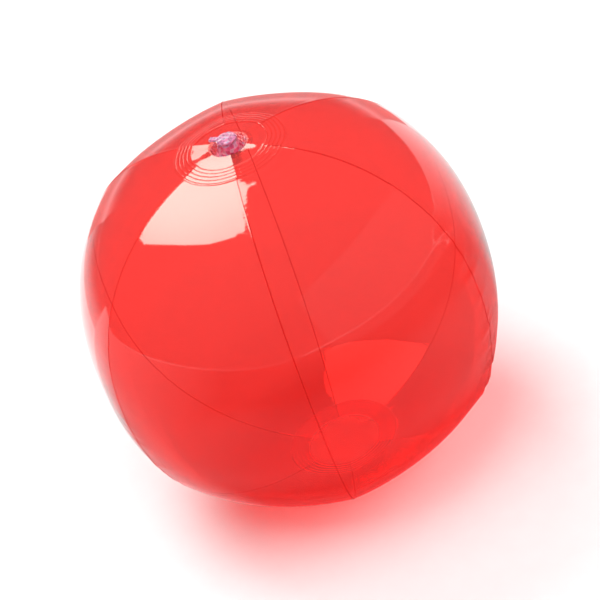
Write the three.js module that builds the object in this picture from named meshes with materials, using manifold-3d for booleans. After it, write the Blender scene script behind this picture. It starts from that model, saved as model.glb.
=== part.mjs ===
// Inflatable beach ball: six welded film gores, two end discs and a push-in inflation valve.
// Millimetres, +Z up along the polar axis with the valve on top, and -X towards the plug's strap.
// The origin is the centre of the small flat patch that the ball rests on.

import * as THREE from 'three';
import { mergeVertices } from 'three/addons/utils/BufferGeometryUtils.js';
import Module from 'manifold-3d';

// ---- Ball envelope ----
const GORE_COUNT = 6;
const MID_GORE_RADIUS = 136.0; // at the equator, halfway between two seams
const POLE_HALF_HEIGHT = 127.8; // centre of the ball to the gore surface at either pole
const SQUARENESS = 2.28; // 2 would be an ellipse; more swells the shoulders
const SEAM_CREST = 0.024; // seams stand proud of the mid-gore radius by this share
const FILM = 0.2; // film thickness
const GAP = 0.3; // clearance kept between neighbouring pieces

// ---- Lap welds between gores ----
const LAP_HALF_WIDTH = 1.2;
const LAP_RAMP = 0.8; // width over which the upper ply steps over the lower one
const LAP_LIFT = FILM + GAP;
const GORE_COLUMNS = 6; // plain film facets between two lap welds
const GORE_ROWS = 16;
const GORE_TIP_RADIUS = 25.0; // the gores stop here, under the end discs

// ---- End discs ----
const DISC_RADIUS = 38.0;
const DISC_FILM = 0.3;
const DISC_LIFT = LAP_LIFT + FILM + GAP; // clears both plies of the lap welds
const DISC_FACETS = 36;
const WELD_RING_COUNT = 5;
const WELD_RING_PITCH = 2.7;
const WELD_RING_HEIGHT = 0.25;
const REST_PATCH_RADIUS = 16.0; // flat spot where the ball meets the ground

// ---- Inflation valve ----
const VALVE_FACETS = 24;
const VALVE_HOLE_RADIUS = 13.3; // hole in the upper end disc
const FLANGE_OUTER_RADIUS = 16.0;
const FLANGE_INNER_RADIUS = 12.8;
const FLANGE_THICKNESS = 0.7;
const MOUTH_RISE = 4.4; // mouth of the valve above the flange
const COLLAR_RADIUS = 7.2;
const COLLAR_THICKNESS = 1.0;
const STEM_OUTER_RADIUS = 4.8;
const STEM_LENGTH = 17.0;
const BORE_RADIUS = 3.6;

// ---- Folding skirt between flange and stem, measured from the mouth ----
const SKIRT_WALL = 0.4;
const SKIRT_TOP_RADIUS = 12.2;
const SKIRT_FOLD_RADIUS = 9.2;
const SKIRT_FOLD_DEPTH = 8.5;
const SKIRT_NECK_RADIUS = 6.2;

// ---- Plug and its strap ----
const PLUG_HEAD_RADIUS = 6.6;
const PLUG_HEAD_THICKNESS = 1.3;
const PLUG_DOME = 0.7;
const PLUG_SHANK_TOP_RADIUS = 3.3;
const PLUG_SHANK_TIP_RADIUS = 2.4;
const PLUG_SHANK_LENGTH = 5.0;
const STRAP_WIDTH = 3.2;
const STRAP_THICKNESS = 0.9;
const STRAP_FOLD_X = -11.4; // the strap folds about this line, beside the mouth
const STRAP_FOLD_RADIUS = 1.1;
const STRAP_FOLD_FACETS = 16;
const STRAP_FOLD_RISE = 0.1; // fold line above the mouth

// ---- Non-return flap ----
const FLAP_RADIUS = 4.5;
const FLAP_THICKNESS = 0.4;
const FLAP_LUG_WIDTH = 3.0;
const FLAP_FOLD_X = 5.2;

const TAU = Math.PI * 2;
const SEAM_STEP = TAU / GORE_COUNT;

const wasm = await Module();
wasm.setup();

// ---------------------------------------------------------------- materials

function vinyl(color, opacity, roughness) {
  return new THREE.MeshStandardMaterial({
    color,
    opacity,
    roughness,
    metalness: 0,
    transparent: true,
  });
}

const redFilm = () => vinyl(0xf7403b, 0.8, 0.18);
const clearVinyl = () => vinyl(0xe08aa6, 0.6, 0.25);

// ------------------------------------------------------------ shape helpers

// One closed thin sheet from the grids [row][column] of its two faces.
// Rows run up the outside with columns anticlockwise; a row may shrink to one point.
function sheetGeometry(outer, inner, wrapsAround) {
  const vertices = [...outer.flat(), ...inner.flat()];
  const rows = outer.length;
  const columns = outer[0].length;
  const outerAt = (r, c) => r * columns + (c % columns);
  const innerAt = (r, c) => rows * columns + outerAt(r, c);
  const index = [];
  const triangle = (a, b, c) => {
    const [p, q, s] = [vertices[a], vertices[b], vertices[c]];
    if (!p.equals(q) && !q.equals(s) && !s.equals(p)) index.push(a, b, c);
  };
  const quad = (a, b, c, d) => {
    triangle(a, b, c);
    triangle(a, c, d);
  };
  const lastRow = rows - 1;
  const lastColumn = columns - 1;
  const spans = wrapsAround ? columns : lastColumn;
  for (let c = 0; c < spans; c += 1) {
    for (let r = 0; r < lastRow; r += 1) {
      quad(outerAt(r, c), outerAt(r, c + 1), outerAt(r + 1, c + 1), outerAt(r + 1, c));
      quad(innerAt(r, c), innerAt(r + 1, c), innerAt(r + 1, c + 1), innerAt(r, c + 1));
    }
    quad(outerAt(0, c + 1), outerAt(0, c), innerAt(0, c), innerAt(0, c + 1));
    quad(
      outerAt(lastRow, c),
      outerAt(lastRow, c + 1),
      innerAt(lastRow, c + 1),
      innerAt(lastRow, c),
    );
  }
  for (let r = 0; r < lastRow && !wrapsAround; r += 1) {
    quad(outerAt(r, 0), outerAt(r + 1, 0), innerAt(r + 1, 0), innerAt(r, 0));
    quad(
      outerAt(r + 1, lastColumn),
      outerAt(r, lastColumn),
      innerAt(r, lastColumn),
      innerAt(r + 1, lastColumn),
    );
  }
  const geometry = new THREE.BufferGeometry();
  geometry.setFromPoints(vertices);
  geometry.setIndex(index);
  geometry.computeVertexNormals();
  return geometry;
}

// Solid of revolution about Z from [radius, z] pairs.
function turned(profile) {
  const points = profile.map(([radius, z]) => new THREE.Vector2(radius, z));
  return new THREE.LatheGeometry(points, VALVE_FACETS).rotateX(Math.PI / 2);
}

// Solid from an outline of [x, z] pairs, centred on y = 0.
function extrudedAcross(outline, width) {
  const shape = new THREE.Shape(outline.map(([x, z]) => new THREE.Vector2(x, z)));
  const geometry = new THREE.ExtrudeGeometry(shape, { depth: width, bevelEnabled: false });
  return geometry.translate(0, 0, -width / 2).rotateX(Math.PI / 2);
}

function toSolid(geometry) {
  const bare = new THREE.BufferGeometry();
  bare.setAttribute('position', geometry.getAttribute('position'));
  bare.setIndex(geometry.getIndex());
  const merged = mergeVertices(bare, 1e-4);
  return new wasm.Manifold(
    new wasm.Mesh({
      numProp: 3,
      vertProperties: new Float32Array(merged.getAttribute('position').array),
      triVerts: new Uint32Array(merged.getIndex().array),
    }),
  );
}

// Several overlapping shapes joined into one moulding.
function moulded(geometries) {
  const joined = geometries.map(toSolid).reduce((whole, next) => whole.add(next));
  const mesh = joined.getMesh();
  const geometry = new THREE.BufferGeometry();
  geometry.setAttribute('position', new THREE.BufferAttribute(mesh.vertProperties, 3));
  geometry.setIndex(new THREE.BufferAttribute(mesh.triVerts, 1));
  geometry.computeVertexNormals();
  return geometry;
}

function piece(name, geometry, material, height = 0) {
  const mesh = new THREE.Mesh(geometry, material);
  mesh.name = name;
  mesh.position.z = height;
  return mesh;
}

// -------------------------------------------------------------- ball surface

// Distance from the ball's centre at a latitude and an azimuth.
function bodyRadius(latitude, azimuth) {
  const across = Math.abs(Math.cos(latitude)) / MID_GORE_RADIUS;
  const along = Math.abs(Math.sin(latitude)) / POLE_HALF_HEIGHT;
  const round = (across ** SQUARENESS + along ** SQUARENESS) ** (-1 / SQUARENESS);
  const turn = azimuth / SEAM_STEP;
  const awayFromSeam = Math.sin(Math.PI * (turn - Math.floor(turn)));
  const crest = SEAM_CREST * (1 - awayFromSeam) * Math.cos(latitude);
  return round * (1 + crest);
}

// A point on the body seen from the ball's centre.
function bodyPoint(latitude, azimuth) {
  const radius = bodyRadius(latitude, azimuth);
  return new THREE.Vector3(
    radius * Math.cos(latitude) * Math.cos(azimuth),
    radius * Math.cos(latitude) * Math.sin(azimuth),
    radius * Math.sin(latitude),
  );
}

// A point lifted off the body, square to its meridian.
function liftedPoint(latitude, azimuth, lift) {
  const step = 1e-4;
  const south = bodyPoint(latitude - step, azimuth);
  const north = bodyPoint(latitude + step, azimuth);
  const eastward = new THREE.Vector3(-Math.sin(azimuth), Math.cos(azimuth), 0);
  const outward = eastward.cross(north.sub(south)).normalize();
  return bodyPoint(latitude, azimuth).addScaledVector(outward, lift);
}

// Latitude at which a mid-gore line is the given distance from the polar axis.
function latitudeAt(distance) {
  let low = 0;
  let high = Math.PI / 2;
  for (let i = 0; i < 50; i += 1) {
    const middle = (low + high) / 2;
    if (bodyRadius(middle, SEAM_STEP / 2) * Math.cos(middle) > distance) low = middle;
    else high = middle;
  }
  return high;
}

const discLevel = (distance) => liftedPoint(latitudeAt(distance), SEAM_STEP / 2, DISC_LIFT).z;

// Ball centre above the ground, which presses the lower disc flat over the rest patch.
const CENTRE_HEIGHT = discLevel(REST_PATCH_RADIUS) + DISC_FILM;

// --------------------------------------------------------------------- gores

// One gore: plain film, with its far edge stepped up to lap over the next gore.
function goreGeometry(number) {
  const start = number * SEAM_STEP;
  const end = start + SEAM_STEP;
  const tipLatitude = latitudeAt(GORE_TIP_RADIUS);
  const outer = [];
  const inner = [];
  for (let r = 0; r <= GORE_ROWS; r += 1) {
    const latitude = tipLatitude * ((2 * r) / GORE_ROWS - 1);
    const girth = bodyRadius(latitude, start) * Math.cos(latitude);
    const lap = LAP_HALF_WIDTH / girth;
    const ramp = LAP_RAMP / girth;
    const columns = [[start - lap + ramp / 2, 0]];
    for (let c = 0; c <= GORE_COLUMNS; c += 1) {
      const share = c / GORE_COLUMNS;
      columns.push([(start + lap) * (1 - share) + (end - lap - ramp) * share, 0]);
    }
    columns.push([end - lap, LAP_LIFT]);
    columns.push([end - lap + ramp / 2, LAP_LIFT]);
    columns.push([end + lap, LAP_LIFT]);
    outer.push(columns.map(([azimuth, lift]) => liftedPoint(latitude, azimuth, lift + FILM)));
    inner.push(columns.map(([azimuth, lift]) => liftedPoint(latitude, azimuth, lift)));
  }
  return sheetGeometry(outer, inner, false);
}

// ----------------------------------------------------------------- end discs

// [distance from the axis, relief] along the disc: raised weld rings run to its rim.
function discStations(firstDistance, patchDistances) {
  const stations = [[firstDistance, 0]];
  for (const distance of patchDistances) stations.push([distance, 0]);
  for (let ring = WELD_RING_COUNT - 1; ring >= 0; ring -= 1) {
    const crest = DISC_RADIUS - (ring + 0.5) * WELD_RING_PITCH;
    stations.push([crest - WELD_RING_PITCH / 2, 0]);
    stations.push([crest, WELD_RING_HEIGHT]);
  }
  stations.push([DISC_RADIUS, 0]);
  return stations;
}

// The two faces of a disc as rings of points, from its middle out to its rim.
function discRings(stations) {
  const outer = [];
  const inner = [];
  for (const [distance, relief] of stations) {
    const latitude = latitudeAt(distance);
    const ring = Array.from({ length: DISC_FACETS }, (_, i) => (TAU * i) / DISC_FACETS);
    const lifted = (lift) =>
      ring.map((azimuth) => {
        const point = liftedPoint(latitude, azimuth, lift);
        return new THREE.Vector3(
          distance * Math.cos(azimuth),
          distance * Math.sin(azimuth),
          point.z,
        );
      });
    outer.push(lifted(DISC_LIFT + DISC_FILM + relief));
    inner.push(lifted(DISC_LIFT));
  }
  return { outer, inner };
}

function upperDiscGeometry() {
  const { outer, inner } = discRings(discStations(VALVE_HOLE_RADIUS, [20]));
  return sheetGeometry(outer.reverse(), inner.reverse(), true);
}

// The mirror image of the upper disc, unpierced, and flat where it meets the ground.
function lowerDiscGeometry() {
  const { outer, inner } = discRings(discStations(0, [REST_PATCH_RADIUS, 20]));
  const below = (rings, floor) =>
    rings.map((ring) =>
      ring.map((p) => new THREE.Vector3(p.x, p.y, -Math.min(p.z, floor))),
    );
  return sheetGeometry(
    below(outer, CENTRE_HEIGHT),
    below(inner, CENTRE_HEIGHT - DISC_FILM),
    true,
  );
}

// --------------------------------------------------------------------- valve

const FLANGE_TOP = CENTRE_HEIGHT + discLevel(FLANGE_OUTER_RADIUS) - GAP;
const MOUTH_HEIGHT = FLANGE_TOP + MOUTH_RISE;

// The pieces below are drawn with z = 0 at the valve's mouth.

function flangeGeometry() {
  const top = -MOUTH_RISE;
  return turned([
    [FLANGE_INNER_RADIUS, top - FLANGE_THICKNESS],
    [FLANGE_OUTER_RADIUS, top - FLANGE_THICKNESS],
    [FLANGE_OUTER_RADIUS, top],
    [FLANGE_INNER_RADIUS, top],
    [FLANGE_INNER_RADIUS, top - FLANGE_THICKNESS],
  ]);
}

// A sleeve that hangs from the flange, turns back up and holds the stem below its collar.
function skirtGeometry() {
  const top = -MOUTH_RISE - FLANGE_THICKNESS / 4;
  const neck = -COLLAR_THICKNESS - GAP;
  const half = SKIRT_WALL / 2;
  const hem = STEM_OUTER_RADIUS + GAP;
  return turned([
    [SKIRT_TOP_RADIUS - half, top],
    [SKIRT_FOLD_RADIUS + half * 2, -SKIRT_FOLD_DEPTH + SKIRT_WALL * 2],
    [SKIRT_FOLD_RADIUS, -SKIRT_FOLD_DEPTH + SKIRT_WALL],
    [SKIRT_FOLD_RADIUS - half * 2, -SKIRT_FOLD_DEPTH + SKIRT_WALL * 2],
    [SKIRT_NECK_RADIUS + half, neck],
    [hem, neck],
    [hem, neck - SKIRT_WALL * 1.5],
    [SKIRT_NECK_RADIUS - half, neck - SKIRT_WALL * 1.5],
    [SKIRT_FOLD_RADIUS - half * 4, -SKIRT_FOLD_DEPTH + SKIRT_WALL],
    [SKIRT_FOLD_RADIUS - half, -SKIRT_FOLD_DEPTH],
    [SKIRT_FOLD_RADIUS + half, -SKIRT_FOLD_DEPTH],
    [SKIRT_FOLD_RADIUS + half * 4, -SKIRT_FOLD_DEPTH + SKIRT_WALL],
    [SKIRT_TOP_RADIUS + half, top],
    [SKIRT_TOP_RADIUS - half, top],
  ]);
}

// The tube that is blown into, with the tab that carries the plug's strap.
function stemGeometry() {
  const tube = turned([
    [BORE_RADIUS, -STEM_LENGTH],
    [STEM_OUTER_RADIUS, -STEM_LENGTH],
    [STEM_OUTER_RADIUS, -COLLAR_THICKNESS],
    [COLLAR_RADIUS, -COLLAR_THICKNESS],
    [COLLAR_RADIUS, 0],
    [BORE_RADIUS, 0],
    [BORE_RADIUS, -STEM_LENGTH],
  ]);
  const tabEnd = STRAP_FOLD_X + STRAP_FOLD_RADIUS + GAP;
  const tabRoot = -(COLLAR_RADIUS + BORE_RADIUS) / 2;
  const tabTop = STRAP_FOLD_RISE + STRAP_THICKNESS / 4 - GAP;
  const tab = extrudedAcross(
    [
      [tabEnd, tabTop - STRAP_THICKNESS],
      [tabRoot, tabTop - STRAP_THICKNESS],
      [tabRoot, Math.min(tabTop, 0)],
      [tabEnd, Math.min(tabTop, 0)],
    ],
    STRAP_WIDTH,
  );
  return moulded([tube, tab]);
}

function plugGeometry() {
  const shoulder = PLUG_HEAD_RADIUS * 0.9;
  return turned([
    [0, -PLUG_SHANK_LENGTH],
    [PLUG_SHANK_TIP_RADIUS, -PLUG_SHANK_LENGTH],
    [PLUG_SHANK_TOP_RADIUS, -GAP],
    [PLUG_SHANK_TOP_RADIUS, GAP],
    [PLUG_HEAD_RADIUS, GAP],
    [PLUG_HEAD_RADIUS, GAP + PLUG_HEAD_THICKNESS * 0.75],
    [shoulder, GAP + PLUG_HEAD_THICKNESS],
    [PLUG_HEAD_RADIUS / 2, GAP + PLUG_HEAD_THICKNESS + PLUG_DOME * 0.75],
    [0, GAP + PLUG_HEAD_THICKNESS + PLUG_DOME],
  ]);
}

// The strap lies over its tab and ends in the soft fold that it turns about.
function strapGeometry() {
  const fold = new THREE.CylinderGeometry(
    STRAP_FOLD_RADIUS,
    STRAP_FOLD_RADIUS,
    STRAP_WIDTH,
    STRAP_FOLD_FACETS,
  ).translate(STRAP_FOLD_X, 0, STRAP_FOLD_RISE);
  const bottom = GAP;
  const head = -PLUG_HEAD_RADIUS - GAP;
  const bar = extrudedAcross(
    [
      [STRAP_FOLD_X, bottom],
      [head, bottom],
      [head, bottom + STRAP_THICKNESS],
      [STRAP_FOLD_X, bottom + STRAP_THICKNESS],
    ],
    STRAP_WIDTH,
  );
  return moulded([fold, bar]);
}

// A loose disc across the lower end of the bore, hung from one side.
function flapGeometry() {
  const top = -STEM_LENGTH - GAP;
  const bottom = top - FLAP_THICKNESS;
  const disc = turned([
    [0, bottom],
    [FLAP_RADIUS, bottom],
    [FLAP_RADIUS, top],
    [0, top],
  ]);
  const lug = extrudedAcross(
    [
      [BORE_RADIUS, bottom],
      [FLAP_FOLD_X, bottom],
      [FLAP_FOLD_X, top],
      [BORE_RADIUS, top],
    ],
    FLAP_LUG_WIDTH,
  );
  return moulded([disc, lug]);
}

// ------------------------------------------------------------------ assembly

const ball = new THREE.Group();
ball.name = 'beach_ball';

for (let i = 0; i < GORE_COUNT; i += 1) {
  ball.add(piece(`gore_${i + 1}`, goreGeometry(i), redFilm(), CENTRE_HEIGHT));
}
ball.add(piece('valve_end_disc', upperDiscGeometry(), redFilm(), CENTRE_HEIGHT));
ball.add(piece('base_end_disc', lowerDiscGeometry(), redFilm(), CENTRE_HEIGHT));
ball.add(piece('valve_flange', flangeGeometry(), clearVinyl(), MOUTH_HEIGHT));
ball.add(piece('valve_skirt', skirtGeometry(), clearVinyl(), MOUTH_HEIGHT));
ball.add(piece('valve_stem', stemGeometry(), clearVinyl(), MOUTH_HEIGHT));
ball.add(piece('valve_plug', plugGeometry(), clearVinyl(), MOUTH_HEIGHT));
ball.add(piece('plug_strap', strapGeometry(), clearVinyl(), MOUTH_HEIGHT));
ball.add(piece('non_return_flap', flapGeometry(), clearVinyl(), MOUTH_HEIGHT));

export default ball;
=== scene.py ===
import math

import bpy
import numpy as np
from mathutils import Matrix, Vector


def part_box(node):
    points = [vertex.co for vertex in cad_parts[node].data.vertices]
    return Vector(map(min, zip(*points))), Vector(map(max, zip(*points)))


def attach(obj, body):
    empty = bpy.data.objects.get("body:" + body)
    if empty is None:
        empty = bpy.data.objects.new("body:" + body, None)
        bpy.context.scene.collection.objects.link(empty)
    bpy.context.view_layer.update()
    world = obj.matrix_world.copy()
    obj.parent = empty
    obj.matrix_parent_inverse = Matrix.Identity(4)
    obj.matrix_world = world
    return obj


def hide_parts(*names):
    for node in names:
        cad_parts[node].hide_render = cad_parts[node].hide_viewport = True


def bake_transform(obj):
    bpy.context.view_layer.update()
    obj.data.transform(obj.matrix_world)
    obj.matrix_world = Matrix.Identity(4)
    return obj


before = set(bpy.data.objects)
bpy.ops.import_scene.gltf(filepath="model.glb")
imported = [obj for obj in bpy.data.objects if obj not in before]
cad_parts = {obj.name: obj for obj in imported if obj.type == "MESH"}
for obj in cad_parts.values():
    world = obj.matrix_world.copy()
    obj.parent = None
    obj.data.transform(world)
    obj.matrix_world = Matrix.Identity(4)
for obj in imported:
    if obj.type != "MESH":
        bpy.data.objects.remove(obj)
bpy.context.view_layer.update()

# ---------------------------------------------------------------- dimensions, metres

MM = 0.001
SEAMS = 6
SEAM_STEP = math.tau / SEAMS
MID_GORE_RADIUS = 136.0 * MM
POLE_HALF_HEIGHT = 127.8 * MM
SQUARENESS = 2.28
SEAM_CREST = 0.024  # how far the seams stand out, as a share of the radius
SEAM_ROUNDING = 0.06  # how softly the body turns over a seam
DISC_RADIUS = 38.0 * MM
GORE_TIP_RADIUS = 25.1 * MM
VALVE_HOLE_RADIUS = 13.3 * MM
DISC_LIFT = 1.0 * MM
DISC_FILM = 0.3 * MM
DISC_BELLY = 1.2 * MM
GATHER_HEIGHT = 0.3 * MM
WELD_RINGS = 5
WELD_RING_PITCH = 2.7 * MM
RING_HEIGHT = 0.13 * MM
RING_HALF_WIDTH = 0.45 * MM
DISC_EDGE_WIDTH = 0.5 * MM
DISC_SETTLING = 0.8 * MM  # how far the disc sinks onto the gores towards its edge

GORE_LOW, GORE_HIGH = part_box("gore_1")
CENTRE = Vector((0, 0, (GORE_LOW[2] + GORE_HIGH[2]) / 2))
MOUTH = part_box("valve_stem")[1][2]
FLANGE_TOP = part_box("valve_flange")[1][2]

# ---------------------------------------------------------------- camera

CAMERA_AZIMUTH = math.radians(-55.42)
CAMERA_ELEVATION = math.radians(35.28)
CAMERA_LEAN = math.radians(21.33)
CAMERA_DISTANCE = 13.9 * MID_GORE_RADIUS
FRAME_SIDE = 2.9189 * MID_GORE_RADIUS  # width of the picture at the ball's distance
CAMERA_ASIDE = 0.0545 * MID_GORE_RADIUS
CAMERA_ABOVE = -0.0083 * MID_GORE_RADIUS
SENSOR_WIDTH = 36.0

back = Vector((
    math.cos(CAMERA_ELEVATION) * math.cos(CAMERA_AZIMUTH),
    math.cos(CAMERA_ELEVATION) * math.sin(CAMERA_AZIMUTH),
    math.sin(CAMERA_ELEVATION),
))
level_right = Vector((-math.sin(CAMERA_AZIMUTH), math.cos(CAMERA_AZIMUTH), 0))
level_up = back.cross(level_right)
right = math.cos(CAMERA_LEAN) * level_right - math.sin(CAMERA_LEAN) * level_up
up = math.sin(CAMERA_LEAN) * level_right + math.cos(CAMERA_LEAN) * level_up

camera_data = bpy.data.cameras.new("camera")
camera_data.sensor_width = SENSOR_WIDTH
camera_data.lens = SENSOR_WIDTH * CAMERA_DISTANCE / FRAME_SIDE
camera_data.clip_start = 0.05
camera_data.clip_end = 60.0
camera = bpy.data.objects.new("camera", camera_data)
bpy.context.collection.objects.link(camera)
bpy.context.scene.camera = camera
eye = CENTRE + back * CAMERA_DISTANCE + right * CAMERA_ASIDE + up * CAMERA_ABOVE
camera.matrix_world = Matrix((
    (right.x, up.x, back.x, eye.x),
    (right.y, up.y, back.y, eye.y),
    (right.z, up.z, back.z, eye.z),
    (0, 0, 0, 1),
))

# ---------------------------------------------------------------- ball surface


def body_radius(latitude, azimuth):
    """Distance of the body from its centre: a squarish oval, a little larger along the seams."""
    across = np.abs(np.cos(latitude)) / MID_GORE_RADIUS
    along = np.abs(np.sin(latitude)) / POLE_HALF_HEIGHT
    plain = (across**SQUARENESS + along**SQUARENESS) ** (-1 / SQUARENESS)
    share = np.mod(azimuth / SEAM_STEP, 1.0)
    bulge = np.hypot(np.sin(math.pi * share), SEAM_ROUNDING) - SEAM_ROUNDING
    crest = SEAM_CREST * (1 - SEAM_ROUNDING - bulge) * np.cos(latitude)
    return plain * (1 + crest)


def body_point(latitude, azimuth):
    radius = body_radius(latitude, azimuth)
    return np.stack([
        radius * np.cos(latitude) * np.cos(azimuth),
        radius * np.cos(latitude) * np.sin(azimuth),
        radius * np.sin(latitude),
    ], axis=-1)


def lifted_point(latitude, azimuth, lift):
    """A point of the body moved out along its normal."""
    step = 1e-4
    rise = body_point(latitude + step, azimuth) - body_point(latitude - step, azimuth)
    east = np.stack([-np.sin(azimuth), np.cos(azimuth), np.zeros_like(azimuth)], axis=-1)
    outward = np.cross(east, rise)
    outward /= np.linalg.norm(outward, axis=-1, keepdims=True)
    return body_point(latitude, azimuth) + outward * np.asarray(lift)[..., None]


LATITUDES = np.linspace(0, math.pi / 2, 4001)
GIRTHS = body_radius(LATITUDES, np.full_like(LATITUDES, SEAM_STEP / 2)) * np.cos(LATITUDES)


def latitude_at(distance):
    """Latitude in the middle of a gore at a distance from the axis."""
    return float(np.interp(-distance, -GIRTHS, LATITUDES))


TIP_LATITUDE = latitude_at(GORE_TIP_RADIUS)
EDGE_LATITUDE = latitude_at(DISC_RADIUS)
FUSED_ALONG = MID_GORE_RADIUS * EDGE_LATITUDE

# Small puckers run square across each seam where its spare length gathers.
# A zone has its middle latitude, half its span in degrees, its folds and their height in mm.
rng = np.random.default_rng(7)
PUCKER_ZONES = {
    0: ((-20, 17, 16, 1.00), (8, 14, 8, 0.55), (33, 12, 8, 0.32), (0, 45, 14, 0.16)),
    1: ((-10, 40, 16, 0.20),),
    2: ((0, 45, 16, 0.22),),
    3: ((-15, 30, 14, 0.26),),
    4: ((-14, 20, 12, 0.42), (10, 40, 10, 0.14)),
    5: ((-5, 45, 9, 0.10), (52, 8, 5, 0.22)),
}
PUCKERS = {seam: [] for seam in range(SEAMS)}
for seam, zones in PUCKER_ZONES.items():
    for middle, half_span, count, height in zones:
        for _ in range(count):
            PUCKERS[seam].append((
                math.radians(middle + rng.uniform(-half_span, half_span)),  # latitude
                height * MM * rng.uniform(0.45, 1.15) * rng.choice((-1, 1, 1)),  # height
                rng.uniform(5, 15) * MM,  # reach away from the seam
                rng.uniform(1.5, 3.2) * MM,  # width along the seam
                rng.uniform(-0.35, 0.35),  # slant
                rng.uniform(-2, 2) * MM,  # shift to one side
            ))

# Slow waves over the body, and a fine ripple across the seams where they run under the discs.
BROAD_WAVE = 0.22 * MM
SHORT_WAVE = 0.16 * MM
RIPPLE_HEIGHT = 0.045 * MM
RIPPLE_PITCH = 1.35 * MM
RIPPLE_REACH = 9 * MM
RIPPLE_LATITUDE = math.radians(62)
RIPPLE_SPAN = math.radians(12)


def relief(latitude, azimuth):
    """Height of the waves, the ripple by the discs and the puckers over the body."""
    seam = np.mod(np.rint(azimuth / SEAM_STEP).astype(int), SEAMS)
    offset = azimuth - np.rint(azimuth / SEAM_STEP) * SEAM_STEP
    aside = offset * MID_GORE_RADIUS * np.cos(latitude)
    along = latitude * MID_GORE_RADIUS
    height = BROAD_WAVE * np.sin(3.1 * azimuth + 5.3 * latitude) * np.cos(latitude)
    height += SHORT_WAVE * np.sin(7.7 * azimuth - 3.9 * latitude + 1.1) * np.cos(latitude) ** 2
    near_disc = np.exp(-((np.abs(latitude) - RIPPLE_LATITUDE) / RIPPLE_SPAN) ** 2)
    ripple = np.sin(aside / RIPPLE_PITCH + 2.1 * seam) * np.exp(-((aside / RIPPLE_REACH) ** 2))
    height += RIPPLE_HEIGHT * ripple * near_disc
    for k, folds in PUCKERS.items():
        here = seam == k
        if not here.any():
            continue
        beside, up_seam = aside[here], along[here]
        total = np.zeros_like(beside)
        for middle, tall, reach, width, slant, shift in folds:
            across = (up_seam - middle * MID_GORE_RADIUS + slant * beside) / width
            total += tall * np.exp(-across**2) * np.exp(-(((beside - shift) / reach) ** 2))
        height[here] += total
    return height


# ---------------------------------------------------------------- mesh helpers


def grid_mesh(name, points, wrap=False, uv=None):
    """A smooth sheet from an array of points [row, column, xyz]; wrap joins its two sides."""
    rows, columns = points.shape[:2]
    faces = []
    spans = columns if wrap else columns - 1
    for r in range(rows - 1):
        for c in range(spans):
            d = (c + 1) % columns
            faces.append((r * columns + c, r * columns + d, (r + 1) * columns + d,
                          (r + 1) * columns + c))
    mesh = bpy.data.meshes.new(name)
    mesh.from_pydata([tuple(p) for p in points.reshape(-1, 3)], [], faces)
    if uv is not None:
        layer = mesh.uv_layers.new(name="film")
        flat = uv.reshape(-1, 2)
        loops = np.zeros(len(mesh.loops), dtype=np.int32)
        mesh.loops.foreach_get("vertex_index", loops)
        layer.data.foreach_set("uv", flat[loops].astype(np.float32).ravel())
    mesh.polygons.foreach_set("use_smooth", [True] * len(mesh.polygons))
    mesh.update()
    piece = bpy.data.objects.new(name, mesh)
    bpy.context.collection.objects.link(piece)
    return piece


def place(piece, body, slot, material, *nodes):
    """Gives a piece its material and its body, and hides the CAD nodes that it stands for; its slot
    is not used.
    """
    piece.data.materials.append(material)
    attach(piece, body)
    if nodes:
        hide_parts(*nodes)


# ---------------------------------------------------------------- materials


class Nodes:
    """Short names for building a node tree."""

    def __init__(self, name):
        self.material = bpy.data.materials.new(name)
        self.material.use_nodes = True
        self.tree = self.material.node_tree
        self.tree.nodes.clear()
        self.output = self.tree.nodes.new("ShaderNodeOutputMaterial")

    def add(self, kind, **settings):
        """A node with its properties or its sockets' constants set by name."""
        node = self.tree.nodes.new(kind)
        for key, value in settings.items():
            if hasattr(node, key):
                setattr(node, key, value)
            else:
                node.inputs[key.replace("_", " ")].default_value = value
        return node

    def link(self, source, target):
        self.tree.links.new(source, target)

    def math(self, operation, a, b=None, clamp=False):
        node = self.tree.nodes.new("ShaderNodeMath")
        node.operation = operation
        node.use_clamp = clamp
        for socket, value in zip(node.inputs, (a, b)):
            if value is None:
                continue
            if isinstance(value, (int, float)):
                socket.default_value = value
            else:
                self.link(value, socket)
        return node.outputs[0]

    def ramp(self, factor, *stops):
        node = self.tree.nodes.new("ShaderNodeValToRGB")
        ramp = node.color_ramp
        while len(ramp.elements) < len(stops):
            ramp.elements.new(1.0)
        for element, (position, colour) in zip(ramp.elements, stops):
            element.position = position
            element.color = (*colour, 1.0)
        self.link(factor, node.inputs["Fac"])
        return node.outputs["Color"]


# The film's UV map holds marks, not places. On a gore x is the distance from the nearest seam
# and y the distance along it, in decimetres. On a disc x marks the weld rings, and y is 1 where
# the disc is fused to the gores.
UV_UNITS = 10  # decimetres in a metre
SOLID_WHITE = (1.0, 1.0, 1.0, 1.0)
FILM_TINT = (0.938, 0.183, 0.167)
FILM_TINT_STEEP = (0.94, 0.095, 0.076)
SLANT_POWER = 2.2  # how late the tint deepens towards a slant
GAUGE_SPREAD = 0.10  # how much the film's gauge varies
SLOW_WAVE_SCALE = 22.0
FINE_WAVE_SCALE = 900.0
FINE_WAVE_SHARE = 0.0015
WAVE_STRENGTH = 0.10
WAVE_HEIGHT = 1.2 * MM
HAZE_COLOUR = (0.90, 0.42, 0.37, 1.0)
FILM_F0 = 0.044  # share reflected by one face of the film seen square on
SEAM_TINT = 0.45  # how far a seam goes towards the deep tint
SEAM_SHADE = 0.11  # and how much light it stops besides
SEAM_LINE = 0.0055  # half the width of a seam's line, decimetres
RING_TINT = 0.30
RING_SHADE = 0.10
WELD_DULLING = 0.85
GATHER_REACH = 0.038  # decimetres
GATHERS_ACROSS, GATHERS_ALONG = 6.0, 42.0  # noise cells to a decimetre
GATHER_PATCH_SCALE = 26.0
GATHER_THRESHOLD, GATHER_GAIN = 0.36, 3.0


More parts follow.
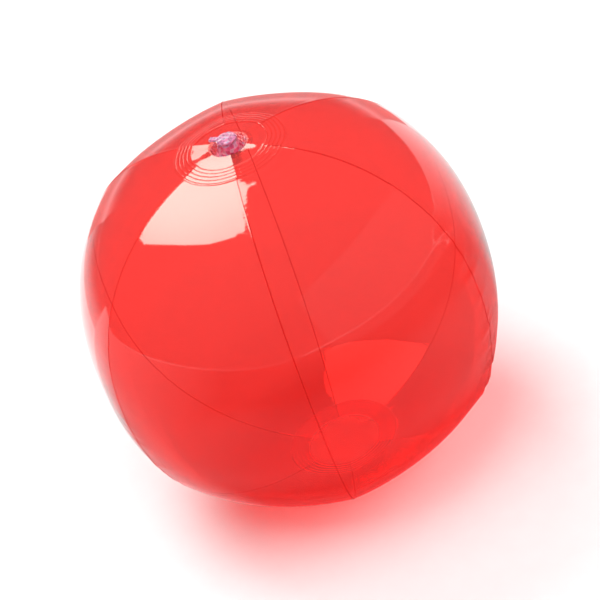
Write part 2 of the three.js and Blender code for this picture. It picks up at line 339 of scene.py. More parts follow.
def noise(n, scale, detail, vector, **settings):
    node = n.add("ShaderNodeTexNoise", Scale=scale, Detail=detail, **settings)
    n.link(vector, node.inputs["Vector"])
    return node.outputs["Fac"]


def bump_over(n, height, strength, distance, under=None):
    """A bump that lies on top of the one under it."""
    node = n.add("ShaderNodeBump", Strength=strength, Distance=distance)
    n.link(height, node.inputs["Height"])
    if under:
        n.link(under, node.inputs["Normal"])
    return node.outputs["Normal"]


def mixed(n, share, first, second):
    """Two shaders mixed by a constant or a socket."""
    node = n.add("ShaderNodeMixShader")
    if isinstance(share, float):
        node.inputs["Fac"].default_value = share
    else:
        n.link(share, node.inputs["Fac"])
    n.link(first, node.inputs[1])
    n.link(second, node.inputs[2])
    return node.outputs[0]


def disc_belly(n, place_on_disc):
    """Height of the disc where it bellies out a little between its weld and the valve."""
    split = n.add("ShaderNodeSeparateXYZ")
    n.link(place_on_disc, split.inputs[0])
    x = n.math("DIVIDE", split.outputs["X"], DISC_RADIUS)
    y = n.math("DIVIDE", split.outputs["Y"], DISC_RADIUS)
    square = n.math("ADD", n.math("MULTIPLY", x, x), n.math("MULTIPLY", y, y))
    return n.math("MULTIPLY", square, -DISC_BELLY)


def seam_gathers(n, to_seam, along, distance, place_on_film):
    """Height of fine gathers that run square to a seam and die out a few millimetres from it."""
    stretched = n.add("ShaderNodeCombineXYZ")
    n.link(n.math("MULTIPLY", to_seam, GATHERS_ACROSS), stretched.inputs["X"])
    n.link(n.math("MULTIPLY", along, GATHERS_ALONG), stretched.inputs["Y"])
    gather = noise(n, 1.0, 2.0, stretched.outputs[0], Roughness=0.6)
    patches = noise(n, GATHER_PATCH_SCALE, 0.0, place_on_film)
    patches = n.math("SUBTRACT", patches, GATHER_THRESHOLD)
    patches = n.math("MULTIPLY", patches, GATHER_GAIN, clamp=True)
    near = n.math("DIVIDE", distance, GATHER_REACH)
    near = n.math("EXPONENT", n.math("MULTIPLY", n.math("MULTIPLY", near, near), -1.0))
    return n.math("MULTIPLY", n.math("MULTIPLY", gather, near), patches)


def film_material(name, haze=0.040, seams=True, roughness=0.045):
    """Clear red film seen as one sheet: tinted see-through, a sharp gloss and a trace of haze."""
    n = Nodes(name)
    slope = n.add("ShaderNodeLayerWeight", Blend=0.5).outputs["Facing"]
    here = n.add("ShaderNodeTexCoord").outputs["Object"]
    slow = noise(n, SLOW_WAVE_SCALE, 2.0, here)
    fine = noise(n, FINE_WAVE_SCALE, 3.0, here)
    waves = n.math("ADD", slow, n.math("MULTIPLY", fine, FINE_WAVE_SHARE))
    normal = bump_over(n, waves, WAVE_STRENGTH, WAVE_HEIGHT)

    # tint: thicker path at a slant, slightly uneven film gauge, darker along the welds
    depth = n.math("POWER", slope, SLANT_POWER)
    gauge = n.math("MULTIPLY", n.math("SUBTRACT", slow, 0.5), GAUGE_SPREAD)
    depth = n.math("ADD", depth, gauge, clamp=True)
    uv = n.add("ShaderNodeUVMap", uv_map="film")
    split = n.add("ShaderNodeSeparateXYZ")
    n.link(uv.outputs["UV"], split.inputs[0])
    mark, along = split.outputs["X"], split.outputs["Y"]
    if seams:
        fused = n.math("GREATER_THAN", n.math("ABSOLUTE", along), FUSED_ALONG * UV_UNITS)
        distance = n.math("ABSOLUTE", mark)
        weld = n.math("SUBTRACT", 1.0, n.math("DIVIDE", distance, SEAM_LINE), clamp=True)
        gathers = seam_gathers(n, mark, along, distance, here)
        normal = bump_over(n, gathers, 1.0, GATHER_HEIGHT, normal)
    else:
        fused, weld = along, mark
        normal = bump_over(n, disc_belly(n, here), 1.0, 1.0, normal)
    weld_tint = n.math("MULTIPLY", weld, SEAM_TINT if seams else RING_TINT)
    depth = n.math("ADD", depth, weld_tint, clamp=True)
    full = n.ramp(depth, (0.0, FILM_TINT), (1.0, FILM_TINT_STEEP))

    # where gore and disc are fused, each of the two sheets holds half of the tint
    half = n.add("ShaderNodeGamma", Gamma=0.5)
    n.link(full, half.inputs["Color"])
    tint_mix = n.add("ShaderNodeMix", data_type="RGBA")
    first_colour, second_colour = tint_mix.inputs[6], tint_mix.inputs[7]
    n.link(fused, tint_mix.inputs["Factor"])
    n.link(full, first_colour)
    n.link(half.outputs["Color"], second_colour)
    tint = n.add("ShaderNodeVectorMath", operation="SCALE")
    n.link(tint_mix.outputs[2], tint.inputs[0])
    kept = n.math("SUBTRACT", 1.0, n.math("MULTIPLY", weld, SEAM_SHADE if seams else RING_SHADE))
    n.link(kept, tint.inputs["Scale"])
    clear = n.add("ShaderNodeBsdfTransparent")
    n.link(tint.outputs[0], clear.inputs["Color"])

    scatter = n.add("ShaderNodeBsdfTranslucent", Color=HAZE_COLOUR)
    matte = n.add("ShaderNodeBsdfDiffuse", Color=HAZE_COLOUR)
    n.link(normal, scatter.inputs["Normal"])
    milk = mixed(n, 0.5, scatter.outputs[0], matte.outputs[0])
    body = mixed(n, haze, clear.outputs[0], milk)

    # gloss: both faces of the film reflect, except on a gore where a disc lies over it
    gloss = n.add("ShaderNodeBsdfGlossy", Roughness=roughness, Color=SOLID_WHITE)
    n.link(normal, gloss.inputs["Normal"])
    one_face = n.math("ADD", n.math("MULTIPLY", n.math("POWER", slope, 5.0), 1 - FILM_F0), FILM_F0)
    both = n.math("DIVIDE", n.math("MULTIPLY", one_face, 2.0), n.math("ADD", one_face, 1.0))
    dulled = n.math("SUBTRACT", 1.0, n.math("MULTIPLY", weld, WELD_DULLING))
    both = n.math("MULTIPLY", both, dulled)
    if seams:
        both = n.math("MULTIPLY", both, n.math("SUBTRACT", 1.0, fused))
    n.link(mixed(n, both, body, gloss.outputs[0]), n.output.inputs["Surface"])
    return n.material


VIOLET_FLECK = (0.62, 0.60, 0.88)
FINE_CELL, FINE_CRUMPLE = 520.0, 1.1 * MM
COARSE_CELL, COARSE_CRUMPLE = 430.0, 1.6 * MM
EDGE_GAIN = 10


def vinyl_material(name, tint, frost, frost_share, cell=FINE_CELL, crumple=FINE_CRUMPLE,
                   shine=0.075):
    """Soft clear moulding with violet flecks, crumpled all over so that it glitters.

    Frost is the colour of the flecks, and frost_share says how much of the light they stop.
    """
    n = Nodes(name)
    here = n.add("ShaderNodeTexCoord").outputs["Object"]
    cells = n.add("ShaderNodeTexVoronoi", Scale=cell)
    n.link(here, cells.inputs["Vector"])
    grain = noise(n, cell * 0.8, 3.0, here)
    normal = bump_over(n, n.math("ADD", cells.outputs["Distance"], grain), 0.9, crumple)

    paler_tint = tuple(0.5 * c + 0.45 for c in tint)
    shade = n.ramp(grain, (0.35, tint), (0.65, paler_tint))
    pick = n.add("ShaderNodeSeparateColor")
    n.link(cells.outputs["Color"], pick.inputs[0])
    deep_frost = tuple(0.55 * c for c in frost)
    pale_frost = tuple(0.6 * c + 0.38 for c in frost)
    flecks = n.ramp(pick.outputs["Red"], (0.0, deep_frost), (0.35, frost), (0.7, pale_frost),
                    (1.0, VIOLET_FLECK))
    clear = n.add("ShaderNodeBsdfTransparent")
    n.link(shade, clear.inputs["Color"])
    through = n.add("ShaderNodeBsdfTranslucent")
    matte = n.add("ShaderNodeBsdfDiffuse")
    n.link(flecks, through.inputs["Color"])
    n.link(flecks, matte.inputs["Color"])
    n.link(normal, matte.inputs["Normal"])
    milk = mixed(n, 0.5, through.outputs[0], matte.outputs[0])
    cloud = n.math("MULTIPLY", n.math("ADD", cells.outputs["Distance"], 0.6), frost_share)
    body = mixed(n, cloud, clear.outputs[0], milk)

    gloss = n.add("ShaderNodeBsdfGlossy", Roughness=0.10, Color=SOLID_WHITE)
    n.link(normal, gloss.inputs["Normal"])
    facing = n.add("ShaderNodeLayerWeight", Blend=0.5)
    n.link(normal, facing.inputs["Normal"])
    slope = n.math("POWER", facing.outputs["Facing"], 5.0)
    share = n.math("ADD", n.math("MULTIPLY", slope, EDGE_GAIN * shine), shine, clamp=True)
    n.link(mixed(n, share, body, gloss.outputs[0]), n.output.inputs["Surface"])
    return n.material


GORE_FILM = film_material("red_film")
VALVE_DISC_FILM = film_material("red_disc_film", haze=0.05, seams=False)
BASE_DISC_FILM = film_material("scuffed_disc_film", haze=0.06, seams=False, roughness=0.38)
VALVE_VINYL = vinyl_material("clear_vinyl", (0.96, 0.46, 0.74), (0.92, 0.34, 0.60), 0.85)
NECK_VINYL = vinyl_material(
    "neck_vinyl", (0.98, 0.30, 0.48), (0.96, 0.14, 0.34), 0.66, COARSE_CELL, COARSE_CRUMPLE)
SKIRT_VINYL = vinyl_material(
    "skirt_vinyl", (0.99, 0.55, 0.60), (0.96, 0.20, 0.28), 0.34, COARSE_CELL, COARSE_CRUMPLE)
STEM_VINYL = vinyl_material(
    "stem_vinyl", (0.995, 0.95, 0.96), (1.0, 0.60, 0.62), 0.05, shine=0.03)

# ---------------------------------------------------------------- gores

LAP = 0.4 * MM
UNDER_LIFT, OVER_LIFT = 0.20 * MM, 0.42 * MM  # the two sheets of a lap
NARROW_WIDTH = 60 * MM  # below this width the columns by the seams close up
ROWS = 220
MIDDLE_COLUMNS = 18
EDGE_ROWS = (0.0005, 0.0015)  # rows just outside the disc's edge, radians from it
LATITUDE_ROWS = np.unique(np.concatenate([
    np.linspace(-TIP_LATITUDE, TIP_LATITUDE, ROWS + 1),
    [side * (EDGE_LATITUDE + nudge) for side in (-1, 1) for nudge in EDGE_ROWS],
]))
NEAR_SEAM = np.array([0.8, 1.2, 1.7, 2.4, 3.4, 4.8, 6.6, 9.0, 12.0]) * MM


def gore_sheet(number):
    """One gore, with a lap at both seams and its columns closer together beside them."""
    start = number * SEAM_STEP
    grid = []
    uv = []
    for latitude in LATITUDE_ROWS:
        girth = float(body_radius(latitude, start) * math.cos(latitude))
        width = SEAM_STEP * girth
        room = min(1.0, width / NARROW_WIDTH)
        inset = NEAR_SEAM * room
        middle = np.linspace(inset[-1], width - inset[-1], MIDDLE_COLUMNS)
        lap = LAP * room
        across = np.concatenate([
            [-lap, -lap / 2, 0.0, lap / 2], inset, middle[1:-1], width - inset[::-1],
            [width - lap / 2, width, width + lap / 2, width + lap],
        ])
        lift = np.full(across.shape, UNDER_LIFT)
        lift[across > width - 1.01 * lap] = OVER_LIFT
        azimuth = start + across / girth
        latitudes = np.full_like(azimuth, latitude)
        lift = lift + relief(latitudes, azimuth)
        grid.append(lifted_point(latitudes, azimuth, lift))
        to_seam = np.minimum(np.abs(across), np.abs(width - across))
        along = latitude * MID_GORE_RADIUS * UV_UNITS
        uv.append(np.stack([to_seam * UV_UNITS, np.full_like(across, along)], axis=-1))
    points = np.array(grid)
    points[..., 2] += CENTRE.z
    return grid_mesh(f"gore_film_{number + 1}", points, uv=np.array(uv))


for i in range(SEAMS):
    place(gore_sheet(i), "ball", "red_film", GORE_FILM, f"gore_{i + 1}")

# ---------------------------------------------------------------- end discs

PIN_HOLE = 0.2 * MM  # radius left at the middle of the lower disc's mesh
FREE_ROWS, WELDED_ROWS, DISC_COLUMNS = 14, 84, 240
WELD_START = 24.0 * MM
DISC_RIM = 0.2 * MM
EDGE_DROP = 0.25 * MM
LAP_RISE = 0.16 * MM  # the disc rises over the gores' laps
LAP_RISE_WIDTH = 1.2 * MM
LAP_RISE_START = 0.3 * MM
DISC_WAVE, SHORT_DISC_WAVE = 0.06 * MM, 0.03 * MM
WAVE_START = 20 * MM  # the waves grow to their full height from the axis to here
REST_GAP = 0.05 * MM  # the lower disc stays this far above the plane that it rests on


def disc_sheet(name, side, first, rings=1.0):
    """An end disc from its first radius out; rings says how strongly its weld rings show."""
    ring_crests = DISC_RADIUS - (np.arange(WELD_RINGS) + 0.5) * WELD_RING_PITCH
    stations = np.unique(np.concatenate([
        np.linspace(first, WELD_START, FREE_ROWS),
        np.linspace(WELD_START, DISC_RADIUS, WELDED_ROWS),
    ]))
    azimuths = np.linspace(0, math.tau, DISC_COLUMNS, endpoint=False)
    grid = []
    uv = []
    for distance in stations:
        fused = 1.0 if distance > GORE_TIP_RADIUS else 0.0
        latitude = np.full_like(azimuths, latitude_at(distance))
        ridge = sum(np.exp(-(((distance - crest) / RING_HALF_WIDTH) ** 2)) for crest in ring_crests)
        settled = min(max((distance - GORE_TIP_RADIUS) / (DISC_RADIUS - GORE_TIP_RADIUS), 0.0), 1.0)
        settled = settled * settled * (3 - 2 * settled)
        lift = DISC_LIFT + DISC_FILM - DISC_SETTLING * settled + RING_HEIGHT * ridge
        mark = max(ridge, 1.0 if distance > DISC_RADIUS - DISC_RIM else 0.0)
        uv.append(np.tile([mark * rings, fused], (len(azimuths), 1)))
        offset = azimuths - np.rint(azimuths / SEAM_STEP) * SEAM_STEP
        over_lap = np.exp(-((offset * distance / LAP_RISE_WIDTH) ** 2))
        under = 1 / (1 + math.exp(-(distance - GORE_TIP_RADIUS) / LAP_RISE_START))
        edge = max(0.0, 1 - (DISC_RADIUS - distance) / DISC_EDGE_WIDTH)
        lift = lift + LAP_RISE * over_lap * under - EDGE_DROP * edge**2
        wave = DISC_WAVE * np.sin(5 * azimuths + 1.3)
        wave = wave + SHORT_DISC_WAVE * np.sin(11 * azimuths + 0.4)
        lift = lift + wave * min(1.0, distance / WAVE_START) * (1 - edge)
        level = lifted_point(latitude, azimuths, lift)[:, 2]
        if side < 0:
            level = np.minimum(level, CENTRE.z - REST_GAP)
        grid.append(np.stack([
            distance * np.cos(azimuths),
            distance * np.sin(azimuths) * (1 if side > 0 else -1),
            side * level + CENTRE.z,
        ], axis=-1))
    return grid_mesh(name, np.array(grid), wrap=True, uv=np.array(uv))


place(disc_sheet("valve_disc_film", 1, VALVE_HOLE_RADIUS), "ball", "red_film", VALVE_DISC_FILM,
      "valve_end_disc")
place(disc_sheet("base_disc_film", -1, PIN_HOLE, rings=0.25), "ball", "red_film", BASE_DISC_FILM,
      "base_end_disc")

# ---------------------------------------------------------------- valve

# Radii and heights of the valve are in millimetres, heights from the mouth of the stem.
BORE_RADIUS, TUBE_RADIUS, COLLAR_RADIUS = 3.6, 4.8, 7.2
COLLAR_DEPTH = 1.0
STEM_LENGTH = 17.0
FLANGE_BORE, FLANGE_RADIUS, FLANGE_DEPTH = 12.8, 16.0, 0.7
FLANGE_LEVEL = (FLANGE_TOP - MOUTH) / MM
SKIRT_LEVEL = FLANGE_LEVEL - 0.15
POCKET_FLOOR = -8.1
FLAP_LEVEL, FLAP_RADIUS = -17.5, 4.5
LUG_END, LUG_HALF_WIDTH = 5.2, 1.5
PLUG_LENGTH, PLUG_HEAD_RADIUS, PLUG_HEAD_TOP = 5.0, 6.6, 2.3
STRAP_WIDTH = 3.2
STRAP_THICKNESS = 0.9
TAB_LEVEL, TAB_THICKNESS = -0.44, 0.86
STRAP_LEVEL = 0.75
FOLD_X, FOLD_RISE, FOLD_RADIUS = -11.4, 0.1, 1.1
ON_AXIS = 0.02  # radius in millimetres at which a turned piece ends on its axis
FACETS = 96


def turned(name, profile, ripple=None):
    """A solid of revolution from (radius, height) pairs in millimetres from the mouth."""
    angles = np.linspace(0, math.tau, FACETS, endpoint=False)
    grid = []
    for radius, height in profile:
        wobble = ripple(angles, radius, height) if ripple else 0
        r = (radius + wobble) * MM
        grid.append(np.stack([
            r * np.cos(angles), r * np.sin(angles), np.full_like(angles, MOUTH + height * MM),
        ], axis=-1))
    return grid_mesh(name, np.array(grid), wrap=True)


def rounded(profile, size, closed=True):
    """Trims each corner of a profile into a short arc."""
    out = []
    count = len(profile)
    for i, corner in enumerate(profile):
        if not closed and i in (0, count - 1):
            out.append(corner)
            continue
        here = Vector(corner)
        before = Vector(profile[i - 1])
        after = Vector(profile[(i + 1) % count])
        reach = min(size, (before - here).length * 0.45, (after - here).length * 0.45)
        a = here + (before - here).normalized() * reach
        b = here + (after - here).normalized() * reach
        for t in (0.0, 0.25, 0.5, 0.75, 1.0):
            p = a * (1 - t) ** 2 + here * (2 * t * (1 - t)) + b * t**2
            out.append((p.x, p.y))
    if closed:
        out.append(out[0])
    return out


flange = turned("valve_flange_ring", rounded([
    (FLANGE_BORE, FLANGE_LEVEL - FLANGE_DEPTH), (FLANGE_RADIUS, FLANGE_LEVEL - FLANGE_DEPTH),
    (FLANGE_RADIUS, FLANGE_LEVEL), (FLANGE_BORE, FLANGE_LEVEL),
], 0.2))
place(flange, "ball", "clear_vinyl", STEM_VINYL, "valve_flange")


def skirt_ripple(angles, radius, height):
    """Soft folds run round the bottom of the pocket."""
    return 0.16 * np.sin(9 * angles + height) * math.exp(-(((height + 5) / 2.2) ** 2))


outer_skirt = turned("valve_skirt_outer", rounded([
    (12.0, SKIRT_LEVEL), (8.9, POCKET_FLOOR), (9.7, POCKET_FLOOR), (12.4, SKIRT_LEVEL),
], 0.15), ripple=skirt_ripple)
outer_skirt.data.materials.append(SKIRT_VINYL)
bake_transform(outer_skirt)
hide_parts("valve_skirt")

inner_skirt = turned("valve_skirt_inner", rounded([
    (8.8, -7.7), (6.4, -1.3), (5.1, -1.3), (5.1, -1.9), (6.0, -1.9), (8.4, POCKET_FLOOR),
    (9.0, -8.5), (9.4, -8.4), (9.4, -8.0),
], 0.3), ripple=skirt_ripple)
place(inner_skirt, "stem", "clear_vinyl", NECK_VINYL, "valve_skirt")

stem = turned("valve_stem_tube", rounded([
    (BORE_RADIUS, -STEM_LENGTH), (TUBE_RADIUS, -STEM_LENGTH), (TUBE_RADIUS, -COLLAR_DEPTH),
    (COLLAR_RADIUS, -COLLAR_DEPTH), (COLLAR_RADIUS, 0.0), (BORE_RADIUS, 0.0),
], 0.3))
place(stem, "stem", "clear_vinyl", STEM_VINYL, "valve_stem")


def ribbon(name, path, width, thickness):
    """A soft flat bar with rounded edges, swept along (x, height) points in millimetres."""
    turns = np.linspace(0, math.tau, 32, endpoint=False)
    edge_softness = 0.35
    side = np.sign(np.cos(turns)) * np.abs(np.cos(turns)) ** edge_softness
    rise = np.sign(np.sin(turns)) * np.abs(np.sin(turns)) ** edge_softness
    line = np.array(path, float)
    heading = np.gradient(line, axis=0)
    heading /= np.linalg.norm(heading, axis=1, keepdims=True)
    across = np.stack([-heading[:, 1], heading[:, 0]], axis=1)
    grid = []
    for k, (point, over) in enumerate(zip(line, across)):
        size = 0.02 if k in (0, len(line) - 1) else 1.0
        offset = rise * thickness / 2 * size
        grid.append(np.stack([
            (point[0] + over[0] * offset) * MM,
            side * width / 2 * size * MM,
            MOUTH + (point[1] + over[1] * offset) * MM,
        ], axis=-1))
    return grid_mesh(name, np.array(grid), wrap=True)


tab = ribbon("strap_tab", [
    (x, TAB_LEVEL) for x in (-10.31, -10.30, -10.2, -9.4, -8.4, -7.4, -6.4, -5.5, -5.49)
], STRAP_WIDTH, TAB_THICKNESS)
place(tab, "stem", "clear_vinyl", VALVE_VINYL)

# The strap runs level from the plug's head and then turns down and under in a round fold.
strap_path = [(x, STRAP_LEVEL) for x in (-5.49, -5.5, -5.8, -6.6, -7.6, -8.6, -9.6, -10.6)]
fold_middle = FOLD_RADIUS - STRAP_THICKNESS / 2
for turn in np.radians(range(90, 301, 15)):
    strap_path.append((FOLD_X + fold_middle * math.cos(turn),
                       FOLD_RISE + fold_middle * math.sin(turn)))
tail = strap_path[-1]
strap_path.append((tail[0] + 0.01, tail[1] + 0.005))
strap = ribbon("plug_strap_fold", strap_path, STRAP_WIDTH, STRAP_THICKNESS)
place(strap, "plug", "clear_vinyl", VALVE_VINYL, "plug_strap")


def flap_outline(angles, radius, height):
    """Widens the disc into the lug that it hangs from."""
    sideways = np.maximum(np.abs(np.sin(angles)), 0.01)
    lug = np.minimum(LUG_END / np.cos(angles), LUG_HALF_WIDTH / sideways)
    lug = np.where(np.cos(angles) > 0.5, lug, 0.0)
    return (np.maximum(FLAP_RADIUS, lug) - FLAP_RADIUS) * radius / FLAP_RADIUS


flap = turned("non_return_flap_leaf", [
    (ON_AXIS, FLAP_LEVEL - 0.16), (2.2, FLAP_LEVEL - 0.17), (4.2, FLAP_LEVEL - 0.20),
    (4.42, FLAP_LEVEL - 0.17), (FLAP_RADIUS, FLAP_LEVEL), (4.42, FLAP_LEVEL + 0.17),
    (4.2, FLAP_LEVEL + 0.20), (2.2, FLAP_LEVEL + 0.16), (ON_AXIS, FLAP_LEVEL + 0.14),
], ripple=flap_outline)
place(flap, "flap", "clear_vinyl", STEM_VINYL, "non_return_flap")

plug = turned("valve_plug_head", rounded([
    (ON_AXIS, -PLUG_LENGTH), (2.4, -PLUG_LENGTH), (3.3, -0.3), (3.3, 0.3), (PLUG_HEAD_RADIUS, 0.3),
    (PLUG_HEAD_RADIUS, 1.3), (5.9, 1.6), (3.3, 2.1), (ON_AXIS, PLUG_HEAD_TOP),
], 0.35, closed=False))
place(plug, "plug", "clear_vinyl", VALVE_VINYL, "valve_plug")

# ---------------------------------------------------------------- floor

FLOOR_SIDE = 16
FLOOR_GAP = 0.4 * MM
SWEEP_START = 0.62
SWEEP_END = 1.15
PAPER_DIM, PAPER_BRIGHT = (0.86, 0.86, 0.86), (0.90, 0.90, 0.90)


def paper_material():
    """White paper that runs out into an even white sweep well away from the ball."""
    n = Nodes("white_sweep")
    here = n.add("ShaderNodeTexCoord").outputs["Object"]
    shade = n.ramp(noise(n, 60.0, 4.0, here), (0.0, PAPER_DIM), (1.0, PAPER_BRIGHT))
    paper = n.add("ShaderNodeBsdfDiffuse")
    n.link(shade, paper.inputs["Color"])
    away = n.add("ShaderNodeVectorMath", operation="LENGTH")
    n.link(here, away.inputs[0])
    reach = n.math("SUBTRACT", away.outputs["Value"], SWEEP_START)
    reach = n.math("DIVIDE", reach, SWEEP_END - SWEEP_START, clamp=True)
    glow = n.add("ShaderNodeEmission", Color=SOLID_WHITE, Strength=1.0)
    sweep = mixed(n, reach, paper.outputs[0], glow.outputs[0])
    n.link(sweep, n.output.inputs["Surface"])
    n.material.cycles.emission_sampling = "NONE"
    return n.material


bpy.ops.mesh.primitive_plane_add(size=FLOOR_SIDE, location=(0, 0, -FLOOR_GAP))
floor = bpy.context.object
floor.name = "floor"
floor.data.materials.append(paper_material())

# ---------------------------------------------------------------- lights


def panel(name, centre, target, width, height, radiance):
    """A rectangular softbox of a given radiance that the camera doesn't see."""
    data = bpy.data.lights.new(name, "AREA")
    data.shape = "RECTANGLE"
    data.size = width
    data.size_y = height
    data.energy = radiance * math.pi * width * height
    light = bpy.data.objects.new(name, data)
    bpy.context.collection.objects.link(light)
    away = (Vector(centre) - Vector(target)).normalized()
    side = Vector((0, 0, 1)).cross(away).normalized()
    top = away.cross(side)
    light.matrix_world = Matrix((
        (side.x, top.x, away.x, centre[0]),
        (side.y, top.y, away.y, centre[1]),
        (side.z, top.z, away.z, centre[2]),
        (0, 0, 0, 1),
    ))
    light.visible_camera = False
    return light


def fill(name, azimuth, elevation, distance, width, height, radiance):
    """A softbox aimed at the ball from a direction in degrees, left out of its reflections."""
    azimuth = math.radians(azimuth)
    elevation = math.radians(elevation)
    direction = Vector((
        math.cos(azimuth) * math.cos(elevation),
        math.sin(azimuth) * math.cos(elevation),
        math.sin(elevation),
    ))
    light = panel(name, direction * distance, (0, 0, 0), width, height, radiance)
    light.visible_glossy = False
    light.visible_transmission = False


def emitter_material(name, colour, strength=None, shade=None):
    """A plain glow, whose strength and colour may come from functions that build nodes."""
    n = Nodes(name)
    glow = n.add("ShaderNodeEmission", Color=(*colour, 1.0), Strength=1.0)
    if strength:
        n.link(strength(n), glow.inputs["Strength"])
    if shade:
        n.link(shade(n), glow.inputs["Color"])
    n.link(glow.outputs[0], n.output.inputs["Surface"])
    return n.material


def only_reflected(piece):
    """Stages a glowing surface that shows in reflections and lights nothing else."""
    piece.visible_camera = False
    piece.visible_diffuse = False
    piece.visible_shadow = False


# The key softbox lies level above and to the left; its outline is given per metre of height.
KEY_HEIGHT = 1.2
KEY_COLOUR = (1.0, 0.97, 0.86)
KEY_PEAK = (-0.60 * KEY_HEIGHT, 0.27 * KEY_HEIGHT)
KEY_FALL, KEY_GAIN, KEY_BASE = 1.78, 4.3, 3.5
KEY_OUTLINE = (
    (-0.24, -0.16), (-0.21, -0.02), (-0.12, 0.22), (-0.18, 0.50), (-0.40, 0.68), (-0.60, 0.93),
    (-1.20, 1.26), (-1.30, 0.34), (-1.04, -0.12), (-0.62, -0.185), (-0.40, -0.21),
)


def key_strength(n):
    """Brightest in the middle of the softbox's near half, falling off to its edges."""
    split = n.add("ShaderNodeSeparateXYZ")
    n.link(n.add("ShaderNodeTexCoord").outputs["Object"], split.inputs[0])
    x, y = (
        n.math("MULTIPLY", n.math("SUBTRACT", split.outputs[axis], peak), 1 / KEY_HEIGHT)
        for axis, peak in zip("XY", KEY_PEAK)
    )
    square = n.math("ADD", n.math("MULTIPLY", x, x), n.math("MULTIPLY", y, y))
    fall = n.math("EXPONENT", n.math("MULTIPLY", square, -KEY_FALL))
    return n.math("ADD", n.math("MULTIPLY", fall, KEY_GAIN), KEY_BASE)


key_mesh = bpy.data.meshes.new("key_softbox")
key_mesh.from_pydata([(x * KEY_HEIGHT, y * KEY_HEIGHT, 0) for x, y in KEY_OUTLINE], [],
                     [tuple(range(len(KEY_OUTLINE)))])
key_mesh.materials.append(emitter_material("key_glow", KEY_COLOUR, key_strength))
key = bpy.data.objects.new("key_softbox", key_mesh)
bpy.context.collection.objects.link(key)
key.location = CENTRE + Vector((0, 0, KEY_HEIGHT))
only_reflected(key)

# Azimuth, elevation, distance, width, height and radiance of the lights that make the shadow.
fill("key_light", 146, 51, 1.5, 0.98, 0.98, 6.0)
fill("top_fill", -80, 72, 1.3, 0.90, 0.90, 3.8)
fill("front_fill", -2, 30, 1.3, 1.9, 1.0, 2.4)
# A dim board on the right shows in the film too.
panel("side_board", (1.0, 0.0, 0.50), (0, 0, 0.35), 1.7, 0.95, 0.11)

# ---------------------------------------------------------------- reflected floor cards

# A dim card lies on the floor in front, seen only in the film's reflections: a painted reflection
# of the floor's light and shade in front of the ball.
CARD_START, CARD_END, CARD_STEP = -182, 94, 3
CARD_HEIGHT = 0.6 * MM
CARD_RINGS = (  # radius, and how much of the shadow's glow the card has there
    (0.07, 1), (0.12, 1), (0.17, 0.7), (0.3, 0.5), (0.58, 0), (2.0, 0), (7.0, 0),
)
CARD_GREYS = (  # azimuth in degrees and brightness
    (-182, 0.95), (-166, 0.60), (-142, 0.42), (-125, 0.26), (-105, 0.07), (38, 0.06),
    (46, 0.12), (54, 0.20), (60, 0.36), (70, 0.62), (80, 0.78), (94, 1.0),
)
CARD_GLOW = (  # share of the glow, and the least red and grey that the card has there
    (0.0, (0, 0, 0)), (0.5, (0.40, 0.26, 0)), (0.7, (0.80, 0.24, 0)), (1.0, (0.90, 0.04, 0)),
)


def mark_split(n):
    """The two marks that a card's UV map holds."""
    split = n.add("ShaderNodeSeparateXYZ")
    n.link(n.add("ShaderNodeUVMap", uv_map="film").outputs["UV"], split.inputs[0])
    return split


def card_colour(n):
    """Painted reflection: grey by direction, with the red glow of the film's own shadow close to
    the ball.
    """
    split = mark_split(n)
    span = CARD_END - CARD_START
    grey = n.ramp(split.outputs["X"], *[
        ((azimuth - CARD_START) / span, (level, level, level)) for azimuth, level in CARD_GREYS
    ])
    glow = n.add("ShaderNodeSeparateColor")
    n.link(n.ramp(split.outputs["Y"], *CARD_GLOW), glow.inputs[0])
    grey = n.math("MAXIMUM", grey, glow.outputs["Green"])
    colour = n.add("ShaderNodeCombineColor")
    n.link(n.math("MAXIMUM", grey, glow.outputs["Red"]), colour.inputs["Red"])
    n.link(grey, colour.inputs["Green"])
    n.link(grey, colour.inputs["Blue"])
    return colour.outputs[0]


card_turns = np.radians(np.arange(CARD_START, CARD_END + 1, CARD_STEP))
card_points = np.array([[
    (radius * math.cos(turn), radius * math.sin(turn), CARD_HEIGHT) for turn in card_turns
] for radius, _ in CARD_RINGS])
card_uv = np.array([[
    (along, glow) for along in np.linspace(0, 1, len(card_turns))
] for _, glow in CARD_RINGS])
card = grid_mesh("dim_card", card_points, uv=card_uv)
card.data.materials.append(emitter_material("card_glow", (1, 1, 1), shade=card_colour))
only_reflected(card)
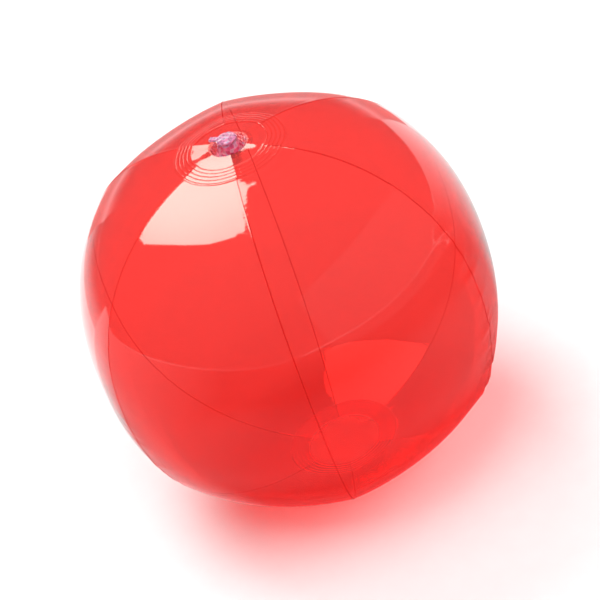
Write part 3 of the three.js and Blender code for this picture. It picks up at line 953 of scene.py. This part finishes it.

# Behind and to the left, cards paint a reflection of the sweep that dims by distance and, behind,
# takes on the red of the ball's shadow near it; again only in reflections.
SWEEP_CARD_HEIGHT = 0.5 * MM
SWEEP_CARD_COLUMNS = 20
SHADOW_TINGE = (1, 0.30, 0.28)
REAR_CARD = (
    (0.65, 0, 0.90, 0.8), (1.0, 0, 0.78, 0.8), (1.6, 0, 0.68, 0.6), (2.6, 0, 0.68, 0.3),
    (4.5, 0, 0.80, 0.1), (7.6, 0, 0.74, 0), (7.6, 0.25, 0.56, 0), (7.6, 0.65, 0.32, 0),
    (7.6, 1.3, 0.16, 0),
)
LEFT_CARD = (
    (0.65, 0, 0.85, 0), (1.0, 0, 0.62, 0), (1.6, 0, 0.34, 0), (2.6, 0, 0.22, 0),
    (4.5, 0, 0.17, 0), (7.6, 0, 0.16, 0),
)


# Painted reflection: how bright the sweep looks in the film, row by row.
def reflected_sweep_brightness(n):
    return mark_split(n).outputs["X"]


def reflected_shadow_redness(n):
    """Painted reflection: towards the ball the floor takes on the red glow of the ball's shadow."""
    return n.ramp(mark_split(n).outputs["Y"], (0.0, (1, 1, 1)), (1.0, SHADOW_TINGE))


def sweep_card(name, start, end, rows):
    """A card that paints the reflection of a sector of the sweep, from (radius, height, brightness,
    redness) rows.
    """
    turns = np.radians(np.linspace(start, end, SWEEP_CARD_COLUMNS))
    points = np.array([[
        (radius * math.cos(turn), radius * math.sin(turn), SWEEP_CARD_HEIGHT + height)
        for turn in turns
    ] for radius, height, _, _ in rows])
    uv = np.array([[(bright, red)] * len(turns) for _, _, bright, red in rows])
    piece = grid_mesh(name, points, uv=uv)
    piece.data.materials.append(
        emitter_material(f"{name}_glow", (1, 1, 1), reflected_sweep_brightness, reflected_shadow_redness))
    only_reflected(piece)


sweep_card("rear_card", 94, 152, REAR_CARD)
sweep_card("left_card", 152, 178, LEFT_CARD)

# ---------------------------------------------------------------- world

ROOM_GREY = 0.16
world = bpy.data.worlds.new("studio")
bpy.context.scene.world = world
world.use_nodes = True
tree = world.node_tree
tree.nodes.clear()
path = tree.nodes.new("ShaderNodeLightPath")
seen = tree.nodes.new("ShaderNodeBackground")
seen.inputs["Color"].default_value = SOLID_WHITE
seen.inputs["Strength"].default_value = 1.0
room = tree.nodes.new("ShaderNodeBackground")
room.inputs["Color"].default_value = SOLID_WHITE
room.inputs["Strength"].default_value = ROOM_GREY
mix = tree.nodes.new("ShaderNodeMixShader")
out = tree.nodes.new("ShaderNodeOutputWorld")
tree.links.new(path.outputs["Is Camera Ray"], mix.inputs["Fac"])
tree.links.new(room.outputs[0], mix.inputs[1])
tree.links.new(seen.outputs[0], mix.inputs[2])
tree.links.new(mix.outputs[0], out.inputs["Surface"])

bpy.context.scene.view_settings.view_transform = "Standard"
bpy.context.scene.view_settings.look = "None"
